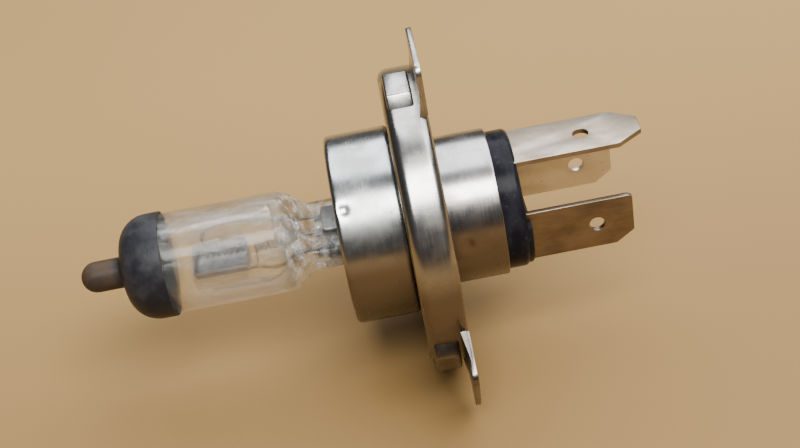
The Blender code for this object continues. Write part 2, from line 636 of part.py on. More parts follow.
def blade(name, frame, end, chamfers, material):
    """A flat terminal with two cut corners at its end and a round hole, lying in its frame."""
    (low_along, low_across), (high_along, high_across) = chamfers
    half = BLADE_WIDTH / 2
    outline = [(-BLADE_FRONT, -half), (end - low_along, -half), (end, -half + low_across),
               (end, half - high_across), (end - high_along, half), (-BLADE_FRONT, half)]
    piece = add_mesh_object(name, prism(outline, BLADE_THICKNESS, Matrix.Identity(4)), material)
    hole = bmesh.new()
    bmesh.ops.create_cone(hole, cap_ends=True, segments=SMALL_STEPS, radius1=BLADE_HOLE_RADIUS,
                          radius2=BLADE_HOLE_RADIUS, depth=BLADE_THICKNESS + CUT_MARGIN)
    bmesh.ops.translate(hole, verts=hole.verts, vec=(BLADE_HOLE_AT, 0, 0))
    combine(piece, "hole", hole, "DIFFERENCE")
    piece.modifiers["hole"].object.parent = piece
    piece.matrix_world = frame
    return piece


def blades(material):
    frames = blade_frames()
    top_cuts = (TOP_CHAMFER, TOP_CHAMFER)
    side_cuts = (SIDE_LOWER_CHAMFER, SIDE_UPPER_CHAMFER)
    return [blade("blade_low", frames["top"], TOP_BLADE_END, top_cuts, material),
            blade("blade_ground", frames["ground"], SIDE_BLADE_END, side_cuts, material),
            blade("blade_high", frames["high"], SIDE_BLADE_END, side_cuts, material)]


# --------------------------------------------------------------------- build
def build():
    clear_scene()
    glass = make_material("quartz_glass", (0.80, 0.82, 0.82), 0.0, 0.05)
    black_paint = make_material("black_coating", (0.045, 0.048, 0.055), 0.0, 0.45)
    tungsten = make_material("tungsten", (0.22, 0.22, 0.23), 1.0, 0.40)
    molybdenum = make_material("molybdenum", (0.42, 0.42, 0.43), 1.0, 0.35)
    plated_steel = make_material("plated_steel", (0.68, 0.67, 0.65), 1.0, 0.25)
    spring_steel = make_material("spring_steel", (0.45, 0.45, 0.46), 1.0, 0.35)
    black_plastic = make_material("black_insulation", (0.02, 0.02, 0.024), 0.0, 0.35)
    tinned_brass = make_material("tinned_blade", (0.62, 0.58, 0.52), 1.0, 0.35)

    pieces = [glass_envelope(glass), antiglare_coating(black_paint)]
    pieces += [low_beam_filament(tungsten), high_beam_filament(tungsten)]
    pieces += [low_beam_shield(molybdenum), *inner_leads(molybdenum), *foils(molybdenum)]
    pieces += [*outer_leads(spring_steel), pinch_clamp(spring_steel)]
    pieces += [front_sleeve(plated_steel), reference_ring(plated_steel), rear_shell(plated_steel)]
    pieces += [insulator(black_plastic), *blades(tinned_brass)]

    axis = bpy.data.objects.new("bulb_axis", None)
    bpy.context.collection.objects.link(axis)
    bpy.context.view_layer.update()
    for piece in pieces:
        piece.parent = axis


build()
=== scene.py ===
# %% [markdown]
# # A headlight bulb, piece by piece
# The design of the bulb is already finished: every piece has its size and its place.
# This notebook loads that design as a fixed frame and gives each piece the shape and
# the finish that the eye expects. The bulb lies along X, glass tip towards -X and
# blades towards +X, with its axis through the origin. One unit is one metre, so a
# small helper turns millimetres into units.

# %% Load the frame
import math

import bmesh
import bpy
from mathutils import Matrix, Vector


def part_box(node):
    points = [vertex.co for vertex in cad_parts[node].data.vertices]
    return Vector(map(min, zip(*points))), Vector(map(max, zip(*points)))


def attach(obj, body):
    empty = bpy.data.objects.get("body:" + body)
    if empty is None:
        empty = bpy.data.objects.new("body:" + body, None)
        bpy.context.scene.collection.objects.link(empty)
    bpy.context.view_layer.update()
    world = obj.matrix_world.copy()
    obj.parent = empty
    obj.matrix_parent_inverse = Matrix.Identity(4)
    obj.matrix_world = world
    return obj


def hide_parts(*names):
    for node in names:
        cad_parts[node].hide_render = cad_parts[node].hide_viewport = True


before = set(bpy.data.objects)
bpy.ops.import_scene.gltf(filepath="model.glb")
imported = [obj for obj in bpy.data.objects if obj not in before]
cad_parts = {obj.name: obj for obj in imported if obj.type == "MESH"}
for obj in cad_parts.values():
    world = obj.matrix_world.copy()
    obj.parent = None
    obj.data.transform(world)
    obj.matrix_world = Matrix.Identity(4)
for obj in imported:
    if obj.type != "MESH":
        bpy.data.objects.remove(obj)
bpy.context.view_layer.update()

MM = 0.001
print("nodes in the frame:", len(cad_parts))

# %% [markdown]
# ## Camera, floor and light first
# A camera at arm's length with a long lens keeps the ring from bulging. It looks from
# the side and from above, and is rolled a little, so that the bulb climbs to the
# right. The floor is a plain warm sheet just under the ring.

# %% Camera
RING_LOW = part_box("reference_ring")[0]
CAMERA_HEIGHT = math.radians(37.5)
CAMERA_ROLL = math.radians(-10.9)
CAMERA_DISTANCE = 220 * MM
VIEW_WIDTH = 115.1 * MM
AIM_ALONG, AIM_DOWN = -5.65 * MM, 0.75 * MM


def aim(camera, target, elevation, distance, roll):
    """Place a camera on the -Y side, looking at a target from above, and roll it."""
    away = Vector((0.0, -math.cos(elevation), math.sin(elevation)))
    camera.location = target + away * distance
    turn = (-away).to_track_quat("-Z", "Y").to_matrix().to_4x4()
    camera.rotation_euler = (turn @ Matrix.Rotation(roll, 4, "Z")).to_euler()


view_up = Vector((0.0, math.sin(CAMERA_HEIGHT), math.cos(CAMERA_HEIGHT)))
camera_data = bpy.data.cameras.new("camera")
camera_data.lens = camera_data.sensor_width * CAMERA_DISTANCE / VIEW_WIDTH
camera = bpy.data.objects.new("camera", camera_data)
bpy.context.collection.objects.link(camera)
aim(camera, Vector((AIM_ALONG, 0, 0)) - view_up * AIM_DOWN,
    CAMERA_HEIGHT, CAMERA_DISTANCE, CAMERA_ROLL)
bpy.context.scene.camera = camera
print("lens in mm:", round(camera_data.lens, 1))

# %% [markdown]
# Bright metal shows its surroundings more than itself, so the lights are planned as
# reflections. A broad cool sheet overhead gives the soft grey of the upper sides, and
# a smaller one leaning over the bulb draws the white stripe along each cylinder. The
# world adds only a little light, so that metal facing neither lamp stays dark.

# %% Lights
def add_softbox(name, location, size, watts, tint):
    light = bpy.data.lights.new(name, "AREA")
    light.shape = "RECTANGLE"
    light.size, light.size_y = size
    light.energy = watts
    light.color = tint
    box = bpy.data.objects.new(name, light)
    box.location = location
    box.rotation_euler = (-Vector(location)).to_track_quat("-Z", "Y").to_euler()
    bpy.context.collection.objects.link(box)
    return box


add_softbox("overhead", (0.20, 0.32, 0.60), (0.9, 0.70), 11.0, (0.94, 0.97, 1.0))
add_softbox("stripe", (0.10, -0.33, 0.58), (0.6, 0.27), 10.5, (1.0, 1.0, 0.98))
world = bpy.data.worlds.new("studio")
bpy.context.scene.world = world
world.use_nodes = True
sky = world.node_tree.nodes["Background"].inputs
sky["Color"].default_value = (0.82, 0.80, 0.80, 1.0)
sky["Strength"].default_value = 0.08

# %% [markdown]
# ## A small language for finishes
# A finish is a graph of nodes. Wiring it by hand is slow to read, so one class wraps a
# socket and lets ordinary arithmetic add the Math nodes, and one method makes every
# other node. Patterns are placed by each piece's own coordinates, in metres, so a
# grain of 0.2 mm is the same size on every piece.

# %% A wire that understands arithmetic
class Wire:
    """A number or colour on its way through a finish."""

    def __init__(self, finish, socket):
        self.finish, self.socket = finish, socket

    def maths(self, operation, first, second):
        return self.finish.node("ShaderNodeMath", {"operation": operation}, {0: first, 1: second})

    def __add__(self, other):
        return self.maths("ADD", self, other)

    def __radd__(self, other):
        return self.maths("ADD", other, self)

    def __sub__(self, other):
        return self.maths("SUBTRACT", self, other)

    def __rsub__(self, other):
        return self.maths("SUBTRACT", other, self)

    def __mul__(self, other):
        return self.maths("MULTIPLY", self, other)

    def __rmul__(self, other):
        return self.maths("MULTIPLY", other, self)

    def ramp(self, low, high):
        """0 below low, 1 above high, smooth between; the other way round if low > high."""
        ends = (low, high, 0.0, 1.0) if low < high else (high, low, 1.0, 0.0)
        return self.finish.node("ShaderNodeMapRange", {"interpolation_type": "SMOOTHSTEP"},
                                {0: self, 1: ends[0], 2: ends[1], 3: ends[2], 4: ends[3]})


# %% A finish and its nodes
class Finish:
    """A material whose nodes are made in code."""

    def __init__(self, name, colour, roughness, metallic=0.0, **fixed):
        self.material = bpy.data.materials.new(name)
        self.material.use_nodes = True
        self.tree = self.material.node_tree
        self.shader = self.tree.nodes["Principled BSDF"]
        self.feed(self.shader.inputs["Base Color"], (*colour, 1.0))
        self.feed(self.shader.inputs["Roughness"], roughness)
        self.feed(self.shader.inputs["Metallic"], metallic)
        for socket, value in fixed.items():
            self.feed(self.shader.inputs[socket.replace("_", " ")], value)
        self.place = self.node("ShaderNodeTexCoord", output="Object")

    def feed(self, socket, value):
        if isinstance(value, Wire):
            self.tree.links.new(value.socket, socket)
        else:
            socket.default_value = value

    def node(self, kind, settings=None, inputs=None, output=0):
        made = self.tree.nodes.new(kind)
        for setting, value in (settings or {}).items():
            setattr(made, setting, value)
        for socket, value in (inputs or {}).items():
            self.feed(made.inputs[socket], value)
        return Wire(self, made.outputs[output])

    def noise(self, size, stretch=(1, 1, 1), detail=3.0, shift=0.0):
        """Clouds of about a given size in metres, drawn out along an axis by stretch."""
        scale = [1 / (size * share) for share in stretch]
        spot = self.node("ShaderNodeMapping", {}, {
            "Vector": self.place, "Location": (shift, shift, shift), "Scale": scale})
        return self.node("ShaderNodeTexNoise", {}, {
            "Vector": spot, "Scale": 1.0, "Detail": detail, "Roughness": 0.55})

    def axis(self, letter):
        """The place along one axis, in metres."""
        return self.node("ShaderNodeSeparateXYZ", {}, {0: self.place}, output=letter)

    def mix(self, factor, first, second):
        """A colour between two colours."""
        pair = [c if isinstance(c, Wire) else (*c, 1.0) for c in (first, second)]
        return self.node("ShaderNodeMix", {"data_type": "RGBA"},
                         {0: factor, 6: pair[0], 7: pair[1]}, output=2)

    def colour(self, wire):
        self.feed(self.shader.inputs["Base Color"], wire)

    def rough(self, wire):
        self.feed(self.shader.inputs["Roughness"], wire)

    def relief(self, height, depth):
        """Raise and sink the surface: a height of 1 stands depth metres proud."""
        self.feed(self.shader.inputs["Normal"], self.node("ShaderNodeBump", {}, {
            "Strength": 1.0, "Distance": depth, "Height": height}))


# %% [markdown]
# Nickel plate is bright but never perfect. Rolling and pressing leave fine lines round
# the axis, handling leaves dull clouds, and damp leaves brown freckles. Each cause gets
# its own pattern, and the same three patterns drive colour, roughness and relief, so
# that a freckle is brown, rough and slightly raised all at once. The underside is
# coloured dark brown-grey. This is painted shade, standing in for the shadowed floor
# that the lower half reflects.

# %% Nickel plate
# Where the painted shade on the underside starts and where it is full, and its colour.
PAINTED_SHADE_NONE, PAINTED_SHADE_FULL = 6.5 * MM, 1.0 * MM
PAINTED_SHADE_COLOUR = (0.15, 0.125, 0.105)
FRECKLE = (0.12, 0.075, 0.045)


def nickel(name, bright, dull, wear, freckles):
    finish = Finish(name, bright, 0.25, 1.0)
    lines = finish.noise(0.16 * MM, (1, 22, 22), 2.0)
    clouds = finish.noise(5.5 * MM, detail=4.0)
    spots = finish.noise(0.9 * MM, detail=5.0, shift=3.7).ramp(0.74 - freckles, 0.84 - freckles)
    spots = spots * finish.noise(9 * MM, shift=1.3).ramp(0.46, 0.62)
    handled = clouds.ramp(0.38, 0.72)
    # Painted shade: the plate darkens towards its underside, standing in for the shadowed floor that
    # the lower half reflects.
    painted_underside_shade = finish.axis("Z").ramp(PAINTED_SHADE_NONE, PAINTED_SHADE_FULL)
    plate = finish.mix(painted_underside_shade * 0.85, finish.mix(handled, bright, dull), PAINTED_SHADE_COLOUR)
    finish.colour(finish.mix(spots, plate, FRECKLE))
    finish.rough(0.17 + wear * handled + 0.10 * lines + 0.35 * spots)
    pressed = finish.noise(7 * MM, shift=5.1, detail=1.0)
    finish.relief(lines * 0.012 + pressed * 1.0 + spots * 0.06, 0.10 * MM)
    return finish.material


ring_nickel = nickel("ring_nickel", (0.42, 0.41, 0.395), (0.31, 0.285, 0.25), 0.14, 0.07)
sleeve_nickel = nickel("sleeve_nickel", (0.47, 0.48, 0.485), (0.34, 0.34, 0.32), 0.12, 0.08)
shell_nickel = nickel("shell_nickel", (0.42, 0.405, 0.40), (0.30, 0.27, 0.245), 0.12, 0.09)
print("nickel finishes ready")

# %% [markdown]
# Quartz is clear, but a used tube is not empty to the eye: it shows a grey film with
# streaks along its length, and wrinkles where the hot glass was pinched flat. On the
# upper side the film is made much heavier. That part is a painted reflection, a
# whitish-grey sheen standing in for the light that the top of the tube reflects. In
# the pinch the crinkles are painted light and dark as glints. Clear glass and film
# are two shaders, and a mask of stretched clouds chooses between them.

# %% Quartz glass with its film
GLASS_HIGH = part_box("glass_envelope")[1]
PINCH_START = -22.6 * MM


def quartz():
    finish = Finish("used_quartz", (0.93, 0.93, 0.91), 0.04, 0.0,
                    Transmission_Weight=1.0, IOR=1.46, Alpha=0.36)
    crinkle = finish.noise(1.9 * MM, (0.8, 1, 1), 2.0, shift=3.3).ramp(0.40, 0.64)
    pinched = finish.axis("X").ramp(PINCH_START - 1.0 * MM, PINCH_START + 1.4 * MM)
    # Painted glints: the pinch's crinkles are coloured light and dark, standing in for the flashes of
    # light they reflect.
    painted_glints = finish.mix(crinkle, (0.10, 0.095, 0.085), (0.60, 0.59, 0.56))
    film_and_reflection_shader = finish.node("ShaderNodeBsdfPrincipled", {}, {
        "Base Color": finish.mix(pinched, (0.29, 0.29, 0.27), painted_glints),
        "Roughness": 0.30, "Alpha": 0.80})
    streaks = finish.noise(1.5 * MM, (3.2, 1, 1), 5.0).ramp(0.46, 0.66)
    fine = finish.noise(0.5 * MM, (2.6, 1, 1), 3.0, shift=2.2).ramp(0.42, 0.66)
    # Painted reflection: the film grows much heavier on the upper side, standing in for the light that
    # the top of the tube reflects.
    painted_reflection_top = finish.axis("Z").ramp(-1.5 * MM, 6.0 * MM)
    wrinkles = finish.noise(1.3 * MM, (0.6, 1.2, 1.2), 3.0, shift=7.0)
    film_and_painted_reflection = (0.10 + 0.90 * painted_reflection_top) * (0.25 + 0.75 * streaks) * (0.55 + 0.45 * fine)
    film_and_painted_reflection = film_and_painted_reflection * 0.60 + pinched * (0.10 + 0.38 * wrinkles.ramp(0.4, 0.65))
    finish.relief(wrinkles * (0.10 + 0.7 * pinched) + fine * 0.03, 0.35 * MM)
    blend = finish.node("ShaderNodeMixShader", {}, {
        0: film_and_painted_reflection, 1: Wire(finish, finish.shader.outputs[0]), 2: film_and_reflection_shader})
    finish.feed(finish.tree.nodes["Material Output"].inputs["Surface"], blend)
    return finish.material


used_quartz = quartz()
print("glass finish:", used_quartz.name)

# %% [markdown]
# The tip is dipped in a black heat-proof paint. It dries satin with an orange-peel
# texture, and the nib, which sticks out and gets hot, fades to brown.

# %% Black coating
COAT_LOW, COAT_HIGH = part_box("antiglare_coating")
BROWN_NONE, BROWN_FULL = COAT_LOW.x + 7.2 * MM, COAT_LOW.x + 4.0 * MM


def black_coating():
    finish = Finish("black_heat_paint", (0.03, 0.03, 0.034), 0.4, Specular_IOR_Level=0.16)
    peel = finish.noise(0.45 * MM, detail=3.0)
    clouds = finish.noise(3.5 * MM, shift=4.4).ramp(0.35, 0.7)
    nib = finish.axis("X").ramp(BROWN_NONE, BROWN_FULL)
    black = finish.mix(clouds, (0.014, 0.014, 0.018), (0.036, 0.036, 0.039))
    finish.colour(finish.mix(nib * (0.55 + 0.45 * clouds), black, (0.056, 0.036, 0.021)))
    finish.rough(0.34 + 0.16 * clouds + 0.12 * peel)
    finish.relief(peel * 0.5 + clouds * 0.5, 0.05 * MM)
    return finish.material


heat_paint = black_coating()
print("paint finish:", heat_paint.name)

# %% [markdown]
# The plug is a hard black moulding. It is smoother than the paint and shows a soft
# highlight, with faint flow marks from the mould and dust in the hollows.

# %% Black moulding
def black_moulding():
    finish = Finish("black_moulding", (0.02, 0.02, 0.024), 0.3, Specular_IOR_Level=0.05)
    flow = finish.noise(4.0 * MM, (0.4, 1, 1), 3.0)
    dust = finish.noise(0.6 * MM, detail=4.0, shift=8.2).ramp(0.60, 0.78)
    dark = finish.mix(flow.ramp(0.35, 0.7), (0.007, 0.007, 0.010), (0.016, 0.016, 0.019))
    finish.colour(finish.mix(dust * 0.25, dark, (0.10, 0.09, 0.08)))
    finish.rough(0.17 + 0.12 * flow + 0.25 * dust)
    finish.relief(flow * 0.6 + dust * 0.2, 0.05 * MM)
    return finish.material


moulding = black_moulding()
print("plug finish:", moulding.name)

# %% [markdown]
# The blades are tin-plated brass. Tin is softer and duller than nickel, and each push
# into a plug drags lines along the blade. Where the tin has worn thin the brass under
# it tints the surface brown. Each blade is given its own share of that brown and its
# own brightness of tin: most brown on the near blade, a little on the top one, and
# none on the far one, whose tin is paler.

# %% Tinned blades
DARKER_TIN = ((0.39, 0.34, 0.28), (0.30, 0.245, 0.185))
PALER_TIN = ((0.78, 0.74, 0.67), (0.68, 0.63, 0.55))


def tinned(name, brown_share, bright, dull):
    finish = Finish(name, (0.6, 0.55, 0.47), 0.35, 1.0)
    drag = finish.noise(0.22 * MM, (26, 1, 1), 2.0)
    clouds = finish.noise(3.6 * MM, (1.6, 1, 1), 4.0, shift=6.1).ramp(0.34, 0.70)
    pits = finish.noise(0.5 * MM, detail=4.0, shift=9.4).ramp(0.66, 0.78)
    tin = finish.mix(clouds, bright, dull)
    brown = finish.mix(clouds, (0.24, 0.18, 0.125), (0.14, 0.10, 0.065))
    browned_tin = finish.mix(brown_share * (0.55 + 0.45 * drag), tin, brown)
    finish.colour(finish.mix(pits * 0.7, browned_tin, (0.13, 0.09, 0.06)))
    finish.rough(0.30 + 0.12 * clouds + 0.10 * drag + 0.25 * pits)
    finish.relief(drag * 0.25 + clouds * 0.5 - pits * 0.25, 0.035 * MM)
    return finish.material


# Each blade's share of brown and its tin brightness are set to how dark it looks: darkest on the near
# blade, palest on the far one.
top_tin = tinned("tin_top_blade", 0.25, *DARKER_TIN)
near_tin = tinned("tin_near_blade", 1.0, *DARKER_TIN)
far_tin = tinned("tin_far_blade", 0.0, *PALER_TIN)
print("tin finishes:", [finish.name for finish in (top_tin, near_tin, far_tin)])

# %% [markdown]
# The small metals inside are plain: spring steel for the holder, dark drawn tungsten
# for the filaments, and satin molybdenum with a straw-coloured heat tint. One function
# covers all three, because they differ only in colour and in how fine their grain is.

# %% Plain drawn and rolled metals
def plain_metal(name, light, dark, tint, base_roughness, grain):
    finish = Finish(name, light, base_roughness, 1.0)
    lines = finish.noise(grain, (9, 1, 1), 2.0)
    clouds = finish.noise(grain * 9, detail=3.0, shift=1.9).ramp(0.36, 0.68)
    heat = finish.noise(grain * 16, shift=5.7).ramp(0.50, 0.70)
    finish.colour(finish.mix(heat * 0.6, finish.mix(clouds, light, dark), tint))
    finish.rough(base_roughness + 0.12 * clouds + 0.10 * lines)
    finish.relief(lines * 0.6 + clouds * 0.4, grain * 0.08)
    return finish.material


spring_steel = plain_metal("spring_steel", (0.36, 0.36, 0.355), (0.22, 0.215, 0.205),
                           (0.25, 0.19, 0.13), 0.28, 0.20 * MM)
molybdenum = plain_metal("satin_molybdenum", (0.15, 0.15, 0.152), (0.085, 0.085, 0.087),
                         (0.15, 0.115, 0.08), 0.34, 0.10 * MM)
tungsten = plain_metal("drawn_tungsten", (0.21, 0.21, 0.22), (0.11, 0.11, 0.12),
                       (0.14, 0.12, 0.16), 0.40, 0.05 * MM)
print("plain metals:", [finish.name for finish in (spring_steel, molybdenum, tungsten)])

# %% [markdown]
# The floor is one plain sheet, warm and matt. Towards the front its colour darkens: painted shade,
# standing in for the shadow that falls on the camera side of the bulb.

# %% Floor
FLOOR_GAP = 0.2 * MM
FLOOR_SHADE_NEAR, FLOOR_SHADE_FAR = -30 * MM, 90 * MM
bpy.ops.object.select_all(action="DESELECT")
bpy.ops.mesh.primitive_plane_add(size=4.0, location=(0, 0, RING_LOW.z - FLOOR_GAP))
floor = bpy.context.object
floor.name = "floor"
floor.data.transform(floor.matrix_world)
floor.matrix_world = Matrix.Identity(4)
floor_finish = Finish("pale_floor", (0.31, 0.185, 0.06), 0.8)
# Painted shade: the floor's colour darkens towards the front, standing in for the shadow on the camera
# side of the bulb.
away = floor_finish.axis("Y").ramp(FLOOR_SHADE_NEAR, FLOOR_SHADE_FAR)
floor_finish.colour(floor_finish.mix(away, (0.212, 0.119, 0.034), (0.302, 0.180, 0.054)))
floor.data.materials.append(floor_finish.material)
print("floor below the ring by mm:", FLOOR_GAP / MM)

# %% [markdown]
# ## Tools for shaping
# Four habits carry the whole model. Start each piece with nothing selected. Pick
# faces, edges and points by where they are. Put the finished place into the mesh, so
# the object itself stays at the origin. Recalculate the outside once the shape is
# closed, and shade smoothly between edges that are not sharp.

# %% Begin, pick and settle
BODY = "root"
SHARP = math.radians(38)


def begin():
    if bpy.context.object and bpy.context.object.mode != "OBJECT":
        bpy.ops.object.mode_set(mode="OBJECT")
    bpy.ops.object.select_all(action="DESELECT")


def make_only(piece):
    begin()
    piece.select_set(True)
    bpy.context.view_layer.objects.active = piece


def pick(kind, test):
    """In edit mode, select the points, edges or faces that a test chooses."""
    bpy.ops.mesh.select_mode(type=kind)
    bpy.ops.mesh.select_all(action="DESELECT")
    work = bmesh.from_edit_mesh(bpy.context.object.data)
    for item in {"VERT": work.verts, "EDGE": work.edges, "FACE": work.faces}[kind]:
        if test(item):
            item.select_set(True)
    work.select_flush_mode()
    bmesh.update_edit_mesh(bpy.context.object.data)


def settle(piece, outwards=True):
    """Put the place into the mesh, close doubles, face outwards and shade smoothly."""
    make_only(piece)
    bpy.ops.object.transform_apply(location=True, rotation=True, scale=True)
    bpy.ops.object.mode_set(mode="EDIT")
    bpy.ops.mesh.select_all(action="SELECT")
    bpy.ops.mesh.remove_doubles(threshold=0.002 * MM)
    if outwards:
        bpy.ops.mesh.normals_make_consistent(inside=False)
    bpy.ops.object.mode_set(mode="OBJECT")
    bpy.ops.object.shade_smooth_by_angle(angle=SHARP)
    return piece


def finish_piece(piece, finish, slot, *nodes):
    """Give a piece its finish and hide the pieces of the design that it stands for."""
    piece.data.materials.clear()
    piece.data.materials.append(finish)
    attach(piece, BODY)
    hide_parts(*nodes)
    print(piece.name, "faces:", len(piece.data.polygons))


# %% Modifiers, applied at once
def apply_modifier(piece, kind, **settings):
    make_only(piece)
    modifier = piece.modifiers.new(kind.lower(), kind)
    for setting, value in settings.items():
        setattr(modifier, setting, value)
    bpy.ops.object.modifier_apply(modifier=modifier.name)


def combine(piece, other, operation):
    """Join on or cut away another shape, which is used up."""
    apply_modifier(piece, "BOOLEAN", operation=operation, solver="EXACT", object=other)
    bpy.data.objects.remove(other, do_unlink=True)


def soften(piece, width, segments=3):
    """Round every sharp edge a little, as stamping and tumbling do."""
    apply_modifier(piece, "BEVEL", width=width, segments=segments, limit_method="ANGLE",
                   angle_limit=SHARP, harden_normals=False)


# %% [markdown]
# Most of the bulb is round. A lathe would do it in one pass, but drawing a circle out
# step by step gives the same shape with plain modelling tools: extrude the rim along
# the axis, scale it to the next radius, and repeat. A rim that shrinks to nothing
# closes into a point when doubles are merged, and two open rims are bridged.

# %% Draw a round piece out of a circle
CENTRE_HOLE = 0.001 * MM


def draw_round(name, outline, steps=96, closed=False):
    """Turn a row of (x, radius) points into a round skin."""
    begin()
    row = [(x, max(radius, CENTRE_HOLE / 2)) for x, radius in outline]
    bpy.ops.mesh.primitive_circle_add(vertices=steps, radius=row[0][1], fill_type="NOTHING",
                                      location=(row[0][0], 0, 0), rotation=(0, math.pi / 2, 0))
    piece = bpy.context.object
    piece.name = name
    bpy.ops.object.transform_apply(location=True, rotation=True, scale=True)
    bpy.ops.object.mode_set(mode="EDIT")
    bpy.ops.mesh.select_mode(type="VERT")
    bpy.ops.mesh.select_all(action="SELECT")
    for (x, radius), (next_x, next_radius) in zip(row, row[1:]):
        bpy.ops.mesh.extrude_edges_move(TRANSFORM_OT_translate={"value": (next_x - x, 0, 0)})
        ratio = next_radius / radius
        bpy.ops.transform.resize(value=(1, ratio, ratio), center_override=(next_x, 0, 0))
    if closed:
        bpy.ops.mesh.select_all(action="SELECT")
        bpy.ops.mesh.select_non_manifold(extend=False)
        bpy.ops.mesh.bridge_edge_loops()
    bpy.ops.object.mode_set(mode="OBJECT")
    return settle(piece)


def curve(centre_x, centre_r, radius, start, end, steps=8):
    """Points (x, radius) round a corner; angles in degrees from +X."""
    angles = [math.radians(start + (end - start) * step / steps) for step in range(steps + 1)]
    return [(centre_x + radius * math.cos(a), centre_r + radius * math.sin(a)) for a in angles]


def stations(start_x, end_x, radius, step):
    """Evenly spaced points along a straight side, ends left out."""
    count = max(2, round(abs(end_x - start_x) / step))
    return [(start_x + (end_x - start_x) * i / count, radius) for i in range(1, count)]


# %% [markdown]
# A few marks are punched into the thin metal. Proportional editing does this the way a
# centre punch does: one point goes in, and its neighbours follow less and less.

# %% Punch a dimple
def punch(piece, x, angle, depth, reach):
    """Push the skin in at a place given by x and by its angle from the top, towards -Y."""
    make_only(piece)
    bpy.ops.object.mode_set(mode="EDIT")
    outward = Vector((0.0, -math.sin(angle), math.cos(angle)))
    work = bmesh.from_edit_mesh(piece.data)
    centre = max((v for v in work.verts if abs(v.co.x - x) < reach / 2),
                 key=lambda v: v.co.dot(outward) - abs(v.co.x - x)).co.copy()
    pick("VERT", lambda v: (v.co - centre).length < CENTRE_HOLE)
    bpy.ops.transform.translate(value=tuple(-outward * depth), use_proportional_edit=True,
                                proportional_edit_falloff="SMOOTH", proportional_size=reach,
                                use_proportional_connected=True)
    bpy.ops.object.mode_set(mode="OBJECT")


# %% [markdown]
# ## The glass
# The outside is a nib, a short flat, a round shoulder, a long tube, and a pinch where
# the soft glass was pressed flat round the wires. The round part is drawn from a
# circle. The pinch goes on from the same rim: each new rim is scaled wide and low, then
# its points are nudged onto a rounded rectangle, since scale alone leaves an oval.

# %% Sizes of the glass
GLASS_RADIUS = 7.3 * MM
GLASS_WALL = 1.1 * MM
NIB_TIP = COAT_LOW.x + COAT_HIGH.z - GLASS_RADIUS
GLASS_FRONT = -45.4 * MM
SHOULDER = 4.0 * MM
NIB_RADIUS = 1.9 * MM
NIB_FILLET = 0.7 * MM
PINCH_FLAT = -18.0 * MM
PINCH_HALF_WIDTH = 6.3 * MM
PINCH_HALF_HEIGHT = 2.0 * MM
print("glass across in mm:", 2 * GLASS_RADIUS / MM)


def nose(offset):
    """The front of the glass from the nib to the tube, moved out by an offset."""
    nib = curve(NIB_TIP + NIB_RADIUS, 0.0, NIB_RADIUS + offset, 180, 90, 10)
    face = GLASS_FRONT - offset
    side = NIB_RADIUS + offset
    root = curve(face - NIB_FILLET, side + NIB_FILLET, NIB_FILLET, 270, 360, 6)
    shoulder = curve(GLASS_FRONT + SHOULDER, GLASS_RADIUS - SHOULDER, SHOULDER + offset, 180, 90, 12)
    return nib + stations(nib[-1][0], root[0][0], side, 0.8 * MM) + root + shoulder


# %% Draw the tube, then press the pinch
def press_flat(piece, x, half_width, half_height, squareness):
    """Nudge one rim onto a rounded rectangle."""
    for vertex in piece.data.vertices:
        if abs(vertex.co.x - x) < CENTRE_HOLE:
            turn = math.atan2(vertex.co.z, vertex.co.y)
            across, up = math.cos(turn), math.sin(turn)
            vertex.co.y = math.copysign(abs(across) ** (2 / squareness), across) * half_width
            vertex.co.z = math.copysign(abs(up) ** (2 / squareness), up) * half_height


def tube_and_pinch(name, outline, tube_end, flat, end, half_width, half_height, squareness):
    """A round tube that blends into a flat end."""
    steps = 14
    shares = [step / steps for step in range(1, steps + 1)]
    rims = [(tube_end + (flat - tube_end) * share, share) for share in shares]
    row = outline + stations(outline[-1][0], tube_end, outline[-1][1], 1.4 * MM)
    radius = outline[-1][1]
    row += [(tube_end, radius)] + [(x, radius) for x, share in rims]
    row += stations(flat, end, radius, 1.2 * MM) + [(end, radius), (end, 0.0)]
    piece = draw_round(name, row)
    for x, share in rims:
        ease = share * share * (3 - 2 * share)
        press_flat(piece, x, radius + (half_width - radius) * ease,
                   radius + (half_height - radius) * ease, 2 + (squareness - 2) * share ** 2)
    for x, _ in stations(flat, end, radius, 1.2 * MM) + [(end, radius)]:
        press_flat(piece, x, half_width, half_height, squareness)
    return settle(piece)


glass = tube_and_pinch("quartz_tube", nose(0.0), PINCH_START, PINCH_FLAT, GLASS_HIGH.x,
                       PINCH_HALF_WIDTH, PINCH_HALF_HEIGHT, 6.0)
inside_radius = GLASS_RADIUS - GLASS_WALL
inner_corner = SHOULDER - GLASS_WALL
inside_nose = [(GLASS_FRONT + GLASS_WALL, 0.0)] + curve(
    GLASS_FRONT + SHOULDER, inside_radius - inner_corner, inner_corner, 180, 90, 10)
gas_space = tube_and_pinch("gas_space", inside_nose, PINCH_START - GLASS_WALL, -20.4 * MM,
                           -20.0 * MM, PINCH_HALF_WIDTH - GLASS_WALL, 1.0 * MM, 3.0)
print("glass faces:", len(glass.data.polygons), "gas faces:", len(gas_space.data.polygons))

# %% [markdown]
# The gas space is a second closed skin inside the first. Its faces have to point into
# the gas, so it is turned inside out before the two skins become one piece.

# %% Join the two skins
make_only(gas_space)
bpy.ops.object.mode_set(mode="EDIT")
bpy.ops.mesh.select_all(action="SELECT")
bpy.ops.mesh.flip_normals()
bpy.ops.object.mode_set(mode="OBJECT")
make_only(glass)
gas_space.select_set(True)
bpy.ops.object.join()
finish_piece(glass, used_quartz, "quartz_glass", "glass_envelope")

# %% [markdown]
# ## The black cap
# The paint is a thin skin over the nose, so it follows the same outline twice, once
# outside and once inside, with a clean rim where the dip ended.

